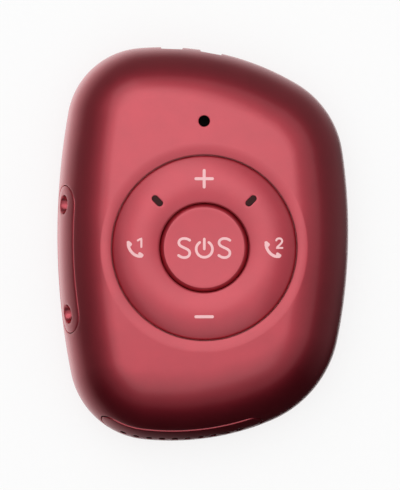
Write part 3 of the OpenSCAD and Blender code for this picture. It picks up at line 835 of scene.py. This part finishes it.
def front_shell():
    lip_r = OPENING_R - SEAT_LIP
    lip_z = RIM_Z - (DIAL_R - lip_r) * tan(DISH_SLOPE)
    seat = rounded([(DIAL_R, RIM_Z), (lip_r, lip_z), (OPENING_R, lip_z - SEAT_LIP_H), (OPENING_R, CEIL_Z),
                    (DIAL_R, CEIL_Z)], [0, SEAT_LIP_R, 0, UNDER_EDGE_R, 0])
    rings = notched(skin_rings())
    rings += [dial_ring(r, z) for r, z in seat[1:-1]]
    edge = rings[-1]
    top = inner_ring(pi / 2)
    rings += [edge + (top - edge) * k / CEILING_STEPS for k in range(1, CEILING_STEPS)]
    rings += [inner_ring(pi / 2 * k / INNER_STEPS) for k in range(INNER_STEPS, -1, -1)]
    bm = bmesh.new()
    loft(bm, rings, closed=True)
    # The seat's wall takes the dark red lining, painted shade in the gap round the ring key
    line_bore(bm, OPENING_R)
    tree = solid_tree(bm)
    through(bm, tree, lanyard_opening(), INLAY_GAP, INLAY_EDGE_R, BODY_W)
    through(bm, tree, grille_opening(), INLAY_GAP, GRILLE_EDGE_R, BODY_H)
    for opening in pin_openings():
        through(bm, tree, opening, PIN_CLEAR, PIN_EDGE_R, TOP_R + BODY_H / 2)
    microphone_hole(bm, tree)
    make(bm, "front_shell_skin", "housing", "shell_red", ["front_shell"], [SEAT_GAP_SHADE_RED])


def microphone_hole(bm, tree):
    """The microphone's hole, with the seat of its mesh behind it."""
    opening = microphone_opening()
    seat = (MIC_HIGH[0] - MIC_LOW[0]) / 2 + MIC_SEAT_CLEAR - MIC_HOLE_R
    seat_depth = 2 * CREST_Z - MIC_HIGH[2]
    mouth = open_wall(bm, opening, opening.on(tree, MIC_EDGE_R), MIC_EDGE_R, -1, 2 * CREST_Z)
    back = open_wall(bm, opening, opening.on(tree, seat, wall=1), seat, 1, 2 * CREST_Z)
    last = rounded_mouth(bm, tree, opening, mouth, MIC_EDGE_R)
    for ring in (opening.at(seat_depth), opening.at(seat_depth, seat)):
        made = add_ring(bm, ring)
        bridge(bm, last, made)
        last = made
    bridge(bm, last, back)


def posts():
    """Places of the four screws, on the bisectors of the corners."""
    made = []
    for i, (corner, r) in enumerate(zip(CORNERS, CORNER_R)):
        a = radians(45 + 90 * i)
        n = np.array((cos(a), sin(a)))
        made.append(corner + (r - WALL - inner_width(n[1]) - POST_R - POST_GAP) * n)
    return made


def rear_shell():
    depth = REAR_Z1 - FLOOR_Z
    middle = EDGE_R * ROUND_MIDDLE
    rings = []
    for k in range(BACK_STEPS, 0, -1):
        a = pi / 2 * k / BACK_STEPS
        rings.append(inset_ring(BACK_ROUND_W * (1 - cos(a)), REAR_Z1 * (1 - sin(a))))
    rings = notched(rings + parting_edge(REAR_Z1, -1)[::-1])
    for k in range(INNER_STEPS + 1):
        a = pi / 2 * k / INNER_STEPS
        rings.append(inset_ring(WALL + depth * (1 - cos(a)), REAR_Z1 - depth * sin(a)))
    bm = bmesh.new()
    made = loft(bm, rings)
    recess_r = HEAD_R + HEAD_CLEAR
    shank_r = SCREW_R + HEAD_CLEAR
    head_z = SCREW_LOW[2] + HEAD_H
    mouth_r = recess_r + EDGE_R
    steps = [(mouth_r, 0), (recess_r + middle, middle), (recess_r, EDGE_R), (recess_r, head_z),
             (shank_r, head_z), (shank_r, BOSS_Z), (BOSS_R, BOSS_Z), (BOSS_R, FLOOR_Z)]
    walls = [loft(bm, [circle(post, r, z) for r, z in steps]) for post in posts()]

    def near_post(r):
        return lambda uv: np.array([min(dist(p, q) for q in posts()) < r for p in uv])

    fill(bm, [made[0]] + [w[0] for w in walls], lambda p: p[:, :2], near_post(mouth_r))
    fill(bm, [made[-1]] + [w[-1] for w in walls], lambda p: p[:, :2], near_post(BOSS_R))
    make(bm, "rear_shell_skin", "housing", "rear_red", ["rear_shell"])


# Inlays


def in_any(opening, holes):
    """Tells which flat points of an opening lie in one of some holes."""
    def test(uv):
        return np.any([h.distance(h.flat(opening.lift(uv))) < 0 for h in holes], axis=0)
    return test


def inlay_face(bm, opening, reach, edge_r):
    """A patch of the front skin with a rounded rim. Returns the whole skin's ray tree and the rim's ring."""
    loft(bm, skin_rings())
    bm.normal_update()
    tree = BVHTree.FromBMesh(bm)
    inward = Vector(opening.inward)
    outside = []
    for f in bm.faces:
        uv = opening.flat([v.co for v in f.verts])
        far = opening.depth(f.calc_center_median()) > reach
        if far or f.normal.dot(inward) > -STEEP or opening.distance(uv).max() > -edge_r - CUT_CLEAR:
            outside.append(f)
    bmesh.ops.delete(bm, geom=outside, context="FACES")
    patch = BVHTree.FromBMesh(bm)

    def on_patch(uv):
        return [patch.ray_cast(Vector(p), inward)[0] is not None for p in opening.lift(uv)]

    edge = [e for e in bm.edges if e.is_boundary]
    rim = join_ring(bm, edge, opening, opening.on(tree, -edge_r), on_patch)
    bmesh.ops.recalc_face_normals(bm, faces=bm.faces)
    if bm.faces[0].normal.dot(inward) > 0:
        bmesh.ops.reverse_faces(bm, faces=bm.faces)
    bm.normal_update()
    return tree, rounded_mouth(bm, tree, opening, rim, edge_r, inner=True)


def row_of_holes(opening, count, pitch, r, points, drop=0):
    """Round holes in a row along an opening, lowered by a distance."""
    holes = []
    for k in range(count):
        origin = opening.origin + (k - (count - 1) / 2) * pitch * opening.along
        origin[2] -= drop
        holes.append(round_opening(origin, opening.along, opening.inward, r, points))
    return holes


def bores(bm, tree, holes, edge_r, depth, reach):
    """Holes with rounded mouths down to one depth. Returns their last rings."""
    ends = []
    for h in holes:
        bm.normal_update()
        mouth = open_wall(bm, h, h.on(tree, edge_r), edge_r, -1, reach)
        last = rounded_mouth(bm, tree, h, mouth, edge_r)
        end = add_ring(bm, h.at(depth))
        # The walls of the holes take the first lining, painted shade inside them
        line_with(SHADE_LINING, bridge(bm, last, end))
        ends.append(end)
    return ends


def lanyard_bar():
    opening = lanyard_opening()
    bm = bmesh.new()
    tree, rim = inlay_face(bm, opening, BODY_W, INLAY_EDGE_R)
    holes = row_of_holes(opening, 2, LANYARD_PITCH, LANYARD_HOLE_R, points=64)
    front_depth = BODY_W / 2 + LANYARD_BAR_T
    ends = bores(bm, tree, holes, LANYARD_HOLE_EDGE, front_depth, BODY_W)
    tunnel_w = 2 * (LANYARD_HOLE_R + TUNNEL_CLEAR)
    tunnel_l = LANYARD_PITCH + tunnel_w
    tunnel = Opening(opening.origin, opening.along, opening.inward, tunnel_l, tunnel_w, count=120)
    front = add_ring(bm, tunnel.at(front_depth))
    fill(bm, [front] + ends, tunnel.flat, in_any(tunnel, holes))
    back_depth = LANYARD_HIGH[0] + BODY_W
    tunnel_back = add_ring(bm, tunnel.at(back_depth - LANYARD_BACK_T))
    # The tunnel's wall and its back take the near black lining: painted shade, and the back is a dark sheet
    # where there is only shade
    line_with(DEEP_SHADE_LINING, bridge(bm, front, tunnel_back))
    line_with(DEEP_SHADE_LINING, [bm.faces.new(tunnel_back)])
    back = add_ring(bm, opening.at(back_depth))
    bridge(bm, rim, back)
    bm.faces.new(back)
    make(bm, "lanyard_inlay", "housing", "shell_red", ["lanyard_bar"], [BORE_SHADE_RED, HOLE_SHADE_DARK])


def speaker_grille():
    opening = grille_opening()
    bm = bmesh.new()
    tree, rim = inlay_face(bm, opening, BODY_H, GRILLE_RIM_R)
    drop = GRILLE_ROW_DROP - GRILLE_TRIM / 2
    holes = row_of_holes(opening, GRILLE_HOLES, GRILLE_PITCH, GRILLE_HOLE_R, points=28, drop=drop)
    back_depth = GRILLE_HIGH[1] + BODY_H
    ends = bores(bm, tree, holes, GRILLE_HOLE_EDGE, back_depth, BODY_H)
    back = add_ring(bm, opening.at(back_depth))
    bridge(bm, rim, back)
    fill(bm, [back] + ends, opening.flat, in_any(opening, holes))
    # The walls of the grille's holes take the near black lining, painted shade inside them
    make(bm, "grille_inlay", "housing", "shell_red", ["speaker_grille"], [HOLE_SHADE_DARK])


# Keys


def crown_z(r):
    """Height of the ring key's crown at a distance from the dial's axis: a parabola to each edge."""
    x = np.asarray(r) - RING_CREST_R
    outer = RING_CROWN * (x / (RING_R - RING_CREST_R)) ** 2
    inner = RING_BORE_FALL * (x / (RING_CREST_R - RING_BORE_R)) ** 2
    return CREST_Z - np.where(x > 0, outer, inner)


def sos_z(r):
    """Height of the centre key's slightly hollow top at a distance from its axis."""
    return SOS_HIGH[2] - SOS_DISH * (1 - np.minimum(r / SOS_TOP_R, 1) ** 2)


def ring_key():
    foot_r = SWITCH_ORBIT + FOOT_REACH
    bore_r = RING_BORE_R - BORE_LIP
    rounding_w = 1.5 * BORE_EDGE_R
    crown = [(r, crown_z(r)) for r in (*np.linspace(RING_R, bore_r + rounding_w, CROWN_STEPS), bore_r)]
    profile = [(bore_r, RING_UNDER_Z), (foot_r, RING_UNDER_Z), (foot_r, FLANGE_Z0), (FLANGE_R, FLANGE_Z0),
               (FLANGE_R, FLANGE_Z0 + FLANGE_T), (RING_R, FLANGE_Z0 + FLANGE_T)] + crown
    radii = [0] * 6 + [RING_EDGE_R] + [0] * (len(crown) - 2) + [BORE_EDGE_R]
    bm = bmesh.new()
    lathe(bm, rounded(profile, radii), DIAL)
    # The bore's wall takes the muted dark red lining, painted shade in the groove round the centre key
    line_bore(bm, bore_r)
    tree = solid_tree(bm)
    for turn in WINDOW_ANGLES:
        a = radians(turn)
        out = np.array((cos(a), sin(a), 0))
        origin = np.array((*DIAL, 2 * CREST_Z)) + WINDOW_ORBIT * out
        window = Opening(origin, out, (0, 0, -1), WINDOW_L, WINDOW_W, count=48)
        through(bm, tree, window, 0, WINDOW_EDGE_R, 2 * CREST_Z)
    low = RING_LOW[2]
    top = RING_UNDER_Z + FOOT_H
    for k in range(4):
        a = pi / 2 * k
        foot = DIAL + SWITCH_ORBIT * np.array((cos(a), sin(a)))
        lathe(bm, [(0, low), (FOOT_R, low), (FOOT_R, top), (0, top)], foot, FOOT_STEPS)
    make(bm, "ring_key_cap", "ring_key", "key_red", ["ring_key"], [KEY_BORE_SHADE])


def sos_key():
    stem_edge_r = 0.2
    flange_edge_r = 0.1
    bevel_foot_r = 0.06
    bevel_top_r = 0.1
    low = SOS_LOW[2]
    flange_z = RING_UNDER_Z - 2 * KEY_GAP
    under_z = flange_z - FLANGE_T
    flange_r = SOS_HIGH[0] - DIAL[0]
    sos_r = RING_BORE_R - KEY_GAP
    bevel_z = SOS_HIGH[2] - SOS_BEVEL_H
    dish = [(r, sos_z(r)) for r in np.linspace(SOS_BEVEL_R, 0, SOS_STEPS)]
    profile = [(0, low), (STEM_R, low), (STEM_R, under_z), (flange_r, under_z), (flange_r, flange_z),
               (sos_r, flange_z), (sos_r, bevel_z)] + dish
    radii = [0] + [stem_edge_r] * 2 + [flange_edge_r] * 3 + [bevel_foot_r, bevel_top_r]
    radii += [0] * (len(dish) - 1)
    bm = bmesh.new()
    lathe(bm, rounded(profile, radii), DIAL)
    make(bm, "sos_key_cap", "sos_key", "key_red", ["sos_key"])


# Screws


def cross_outline(arm, half):
    """The twelve corners of a cross, anticlockwise from its right arm."""
    corner = [(arm, -half), (arm, half), (half, half)]
    points = []
    for k in range(4):
        c = round(cos(pi / 2 * k))
        s = round(sin(pi / 2 * k))
        points += [(c * x - s * y, s * x + c * y) for x, y in corner]
    return np.array(points)


def cover_screws():
    z0 = SCREW_LOW[2]
    z1 = z0 + HEAD_H
    middle = HEAD_ROUND * ROUND_MIDDLE
    steps = [(HEAD_R - HEAD_ROUND, z0), (HEAD_R - middle, z0 + middle), (HEAD_R, z0 + HEAD_ROUND),
             (HEAD_R, z1), (SCREW_R, z1), (SCREW_R, SCREW_HIGH[2])]
    cross = cross_outline(CROSS_ARM, CROSS_HALF)
    cross_floor = cross_outline(CROSS_ARM * CROSS_TAPER_L, CROSS_HALF * CROSS_TAPER_W)
    bm = bmesh.new()
    for post in posts():
        rings = loft(bm, [circle(post, r, z, HEAD_STEPS) for r, z in steps])
        bm.faces.new(rings[-1])
        mouth = add_ring(bm, at_height(cross + post, z0))
        bottom = add_ring(bm, at_height(cross_floor + post, z0 + CROSS_D))
        bridge(bm, mouth, bottom)
        bm.faces.new(bottom)

        def in_cross(uv, post=post):
            x, y = np.abs(uv - post).T
            return ((x < CROSS_ARM) & (y < CROSS_HALF)) | ((x < CROSS_HALF) & (y < CROSS_ARM))

        fill(bm, [rings[0], mouth], lambda p: p[:, :2], in_cross)
    make(bm, "screw_heads", "housing", "screw_steel", ["cover_screws"])


# Printed legends


def arc(r, start, end, count=40):
    """Points along an arc round the origin, with its angles in degrees."""
    turns = np.radians(np.linspace(start, end, count))
    return r * np.column_stack((np.cos(turns), np.sin(turns)))


def curve(*points, count=12):
    """A path of cubic curves: a start, then two controls and an end for each."""
    t = np.linspace(0, 1, count)[:, None]
    points = [np.array(p) for p in points]
    path = points[:1]
    for i in range(0, len(points) - 1, 3):
        a, b, c, d = points[i:i + 4]
        path += list(((1 - t) ** 3 * a + 3 * t * (1 - t) ** 2 * b + 3 * t * t * (1 - t) * c + t ** 3 * d)[1:])
    return np.array(path)


def dense(points, step=0.2):
    """A path with points no further apart than a step."""
    points = np.array(points, float)
    made = [points[0]]
    for a, b in zip(points, points[1:]):
        count = max(1, ceil(np.linalg.norm(b - a) / step))
        made += [a + (b - a) * k / count for k in range(1, count + 1)]
    return np.array(made)


def stroke_outline(path, width):
    """Closed outline of a stroke with round ends."""
    ahead = np.gradient(path, axis=0)
    ahead /= np.linalg.norm(ahead, axis=1)[:, None]
    side = np.column_stack((-ahead[:, 1], ahead[:, 0])) * width / 2
    points = list(path - side)
    caps = ((path[-1], -side[-1]), (path[0], side[0]))
    turns = np.linspace(0, pi, CAP_STEPS + 1)[1:-1]
    ends = []
    for centre, arm in caps:
        ends.append([centre + cos(t) * arm + sin(t) * np.array((-arm[1], arm[0])) for t in turns])
    return np.array(points + ends[0] + list((path + side)[::-1]) + ends[1])


def path_distance(points, path):
    """Distance of points from a path."""
    best = np.full(len(points), np.inf)
    for a, b in zip(path, path[1:]):
        ab = b - a
        t = np.clip(((points - a) @ ab) / (ab @ ab), 0, 1)
        best = np.minimum(best, np.linalg.norm(points - a - t[:, None] * ab, axis=1))
    return best


def legend(name, strokes, place, height, body):
    """Strokes printed on a key: paths with widths, laid at a place from the dial's axis."""
    paths = [(dense(path) + np.array(place), width) for path, width in strokes]
    points, edges = [], []
    for path, width in paths:
        outline = stroke_outline(path, width)
        edges += ring_edges(len(points), len(outline))
        points += [Vector(p) for p in outline]
    result = delaunay_2d_cdt(points, edges, [], 1, PRINT_MERGE)
    flat = np.array([tuple(p) for p in result[0]])
    bm = bmesh.new()
    top = height(np.linalg.norm(flat, axis=1))
    verts = add_ring(bm, at_height(flat + DIAL, top - PRINT_T))
    for tri in result[2]:
        middle = flat[list(tri)].mean(axis=0)[None]
        if any(path_distance(middle, path)[0] < width / 2 for path, width in paths):
            bm.faces.new([verts[i] for i in tri])
    bmesh.ops.delete(bm, geom=[v for v in bm.verts if not v.link_faces], context="VERTS")
    raised = bmesh.ops.extrude_face_region(bm, geom=bm.faces[:], use_keep_orig=True)["geom"]
    raised = [g for g in raised if isinstance(g, bmesh.types.BMVert)]
    bmesh.ops.translate(bm, vec=(0, 0, 2 * PRINT_T), verts=raised)
    make(bm, name, body, "key_red", paint=LEGEND)


def letter_s(x, y):
    path = curve((0.84, 1.2), (0.55, 1.4), (0.28, 1.47), (0, 1.47), (-0.46, 1.47), (-0.83, 1.22),
                 (-0.83, 0.82), (-0.83, 0.38), (-0.42, 0.24), (0, 0.04), (0.46, -0.17), (0.84, -0.34),
                 (0.84, -0.76), (0.84, -1.2), (0.47, -1.47), (0.02, -1.47), (-0.3, -1.47), (-0.62, -1.33),
                 (-0.87, -1.13))
    return [(path + np.array((x, y)), STROKE)]


def power_sign():
    return [(arc(1.25, 124, 416), STROKE), ([(0, 1.56), (0, 0.03)], STROKE)]


def handset():
    """A handle that swells into an ear piece and a mouthpiece."""
    return [(curve((-1.04, 0.78), (-1.02, -0.02), (-0.28, -1.0), (0.6, -1.08)), 0.44),
            ([(-1.02, 1.03), (-0.7, 0.76)], 0.5),
            ([(-1.04, 0.66), (-0.78, 0.62)], 0.46),
            ([(0.74, -0.7), (1.08, -0.94)], 0.48),
            ([(0.6, -1.08), (0.98, -1.08)], 0.46)]


def digit_one():
    return [([(0.45, 1.34), (0.985, 1.66), (0.985, 0.35)], FINE_STROKE)]


def digit_two():
    top = curve((0.54, 1.4), (0.62, 1.64), (0.8, 1.7), (1.0, 1.7), (1.28, 1.7), (1.44, 1.55), (1.44, 1.3),
                (1.44, 1.04), (1.2, 0.85), (0.58, 0.24))
    return [(np.vstack((top, [(1.48, 0.24)])), FINE_STROKE)]


def legends():
    letters = [stroke for x in LETTER_X for stroke in letter_s(x, LETTER_Y)]
    level = [([(-SIGN_ARM, 0), (SIGN_ARM, 0)], SIGN_STROKE)]
    upright = [([(0, -SIGN_ARM), (0, SIGN_ARM)], SIGN_STROKE)]
    legend("legend_sos", letters, (0, 0), sos_z, "sos_key")
    legend("legend_power", power_sign(), POWER_PLACE, sos_z, "sos_key")
    legend("legend_plus", level + upright, (0, SIGN_ORBIT), crown_z, "ring_key")
    legend("legend_minus", level, (0, -SIGN_ORBIT), crown_z, "ring_key")
    legend("legend_call_1", handset() + digit_one(), CALL_1_PLACE, crown_z, "ring_key")
    legend("legend_call_2", handset() + digit_two(), CALL_2_PLACE, crown_z, "ring_key")


# The studio


def stage_sheet(name, bm, material):
    sheet = add_mesh(bm, name, [material])
    return sheet


def floor():
    """White paper: most of its white is its own, the rest is lit and keeps the part's soft shadow."""
    own_white = 0.8
    half_size = 3.0
    paper_grain = 900
    material, nodes, links, shader = new_material("floor_paper")
    put(shader, {"Roughness": 0.9, "Specular IOR Level": 0.0})
    grain = noise(nodes, links, paper_grain)
    tint(nodes, links, grain, shader, colour=(0.91, 0.91, 0.91), shade=0.011)
    glow = nodes.new("ShaderNodeEmission")
    seen = nodes.new("ShaderNodeLightPath").outputs
    rays = calculate(nodes, links, "ADD", seen["Is Camera Ray"], seen["Is Glossy Ray"])
    rays = calculate(nodes, links, "ADD", rays, seen["Is Transmission Ray"])
    share = calculate(nodes, links, "MULTIPLY", rays, own_white)
    mix = nodes.new("ShaderNodeMixShader")
    links.new(share, mix.inputs["Fac"])
    links.new(shader.outputs["BSDF"], mix.inputs[1])
    links.new(glow.outputs["Emission"], mix.inputs[2])
    links.new(mix.outputs["Shader"], nodes["Material Output"].inputs["Surface"])
    bm = bmesh.new()
    bmesh.ops.create_grid(bm, x_segments=8, y_segments=8, size=half_size)
    stage_sheet("floor", bm, material)


def card_levels(side, right, up, down):
    """Greys of cards round the outline: a level at the sides, and what it gains to the right, up and down."""
    least = 0.01
    across, along = NORMALS.T
    grey = side + right * across + up * np.maximum(along, 0) + down * np.maximum(-along, 0)
    return np.maximum(grey, least)


def card_band():
    """Low cards round the part that only reflections see: pale at the upper left's foot, dark elsewhere."""
    gap = 2.0
    foot_z = 4.0
    fade_z = 8.0
    left_rise = 3.0
    top_z = 16.0
    foot = card_levels(side=0.57, right=-0.47, up=0.17, down=-0.47)
    top = card_levels(side=0.135, right=0.005, up=0.02, down=-0.2)
    bm = bmesh.new()
    level = bm.verts.layers.float_color.new("level")
    rows = ((0, foot), (foot_z, foot), (fade_z, top), (top_z, top))
    rings = loft(bm, [inset_ring(-gap, z) for z, _ in rows])
    for v, across in zip(rings[2], NORMALS[:, 0]):
        v.co.z += left_rise * max(0, -across)
    for ring, (_, greys) in zip(rings, rows):
        for v, grey in zip(ring, greys):
            v[level] = (grey, grey, grey, 1)
    to_metres(bm)
    material, nodes, links, shader = new_material("card_paper")
    nodes.remove(shader)
    glow = nodes.new("ShaderNodeEmission")
    shade = nodes.new("ShaderNodeAttribute")
    shade.attribute_name = "level"
    links.new(shade.outputs["Color"], glow.inputs["Color"])
    links.new(glow.outputs["Emission"], nodes["Material Output"].inputs["Surface"])
    band = stage_sheet("card_band", bm, material)
    band.visible_camera = False
    band.visible_diffuse = False
    band.visible_shadow = False
    band.visible_transmission = False


def world(horizon, side, zenith, low_angle):
    """A room that grows paler to one side and overhead. Its ceiling begins at an angle from straight up."""
    made = bpy.data.worlds.new("studio")
    made.use_nodes = True
    nodes = made.node_tree.nodes
    links = made.node_tree.links
    place = nodes.new("ShaderNodeTexCoord")
    lean = nodes.new("ShaderNodeVectorMath")
    lean.operation = "DOT_PRODUCT"
    lean.inputs[1].default_value = side
    links.new(place.outputs["Generated"], lean.inputs[0])
    split = nodes.new("ShaderNodeSeparateXYZ")
    links.new(place.outputs["Generated"], split.inputs["Vector"])
    ceiling = nodes.new("ShaderNodeMapRange")
    put(ceiling, {"From Min": cos(radians(low_angle)), "To Max": zenith})
    links.new(split.outputs["Z"], ceiling.inputs["Value"])
    walls = calculate(nodes, links, "ADD", lean.outputs["Value"], horizon)
    walls = calculate(nodes, links, "MAXIMUM", walls, 0)
    level = calculate(nodes, links, "ADD", walls, ceiling.outputs["Result"])
    links.new(level, nodes["Background"].inputs["Color"])
    bpy.context.scene.world = made


def camera():
    """Looks straight down on the face, from far enough to see it without much perspective."""
    distance = 1.6
    view_h = 75.95 * MM
    aim_x, aim_y = -0.44 * MM, -0.18 * MM
    data = bpy.data.cameras.new("camera")
    data.lens = data.sensor_width * (distance - FRONT_Z0 * MM) / view_h
    made = add_object("camera", data)
    made.location = (aim_x, aim_y, distance)
    bpy.context.scene.camera = made


def panel(name, height, edges, level, turn=0, glossy=True):
    """A level panel that faces down and shows a level of brightness in a mirror.

    Its left, right, lower and upper edges are at angles from straight up, as the part sees them.
    """
    left, right, lower, upper = (height * tan(radians(a)) for a in edges)
    light = bpy.data.lights.new(name, "AREA")
    light.shape = "RECTANGLE"
    light.size = left + right
    light.size_y = lower + upper
    light.energy = level * pi * light.size * light.size_y
    lamp = add_object(name, light)
    lamp.rotation_euler = (0, 0, radians(turn))
    middle = Vector(((right - left) / 2, (upper - lower) / 2, height))
    lamp.location = lamp.rotation_euler.to_matrix() @ middle
    lamp.visible_glossy = glossy


def studio():
    bpy.context.scene.view_settings.view_transform = "Standard"
    floor()
    world(horizon=0.175, side=(0.13, 0.16, 0), zenith=0.26, low_angle=89)
    card_band()
    panel("softbox", height=0.6, edges=(35.3, 14.6, 44.8, 64.8), level=0.556, turn=20)
    panel("softbox_core", height=0.5, edges=(14.9, 27.1, 2.8, 44.4), level=0.638, turn=20)
    panel("fill_light", height=0.8, edges=(50, 50, 50, 50), level=0.5, glossy=False)
    camera()


def dress_inner_nodes():
    """Each CAD node gets the finish of its slot."""
    for part in frame["record"]["subparts"]:
        mesh = frame["nodes"][part["node"]].data
        mesh.materials.clear()
        mesh.materials.append(MATERIALS[part["material_slot"]])


dress_inner_nodes()
front_shell()
rear_shell()
lanyard_bar()
speaker_grille()
ring_key()
sos_key()
cover_screws()
legends()
studio()
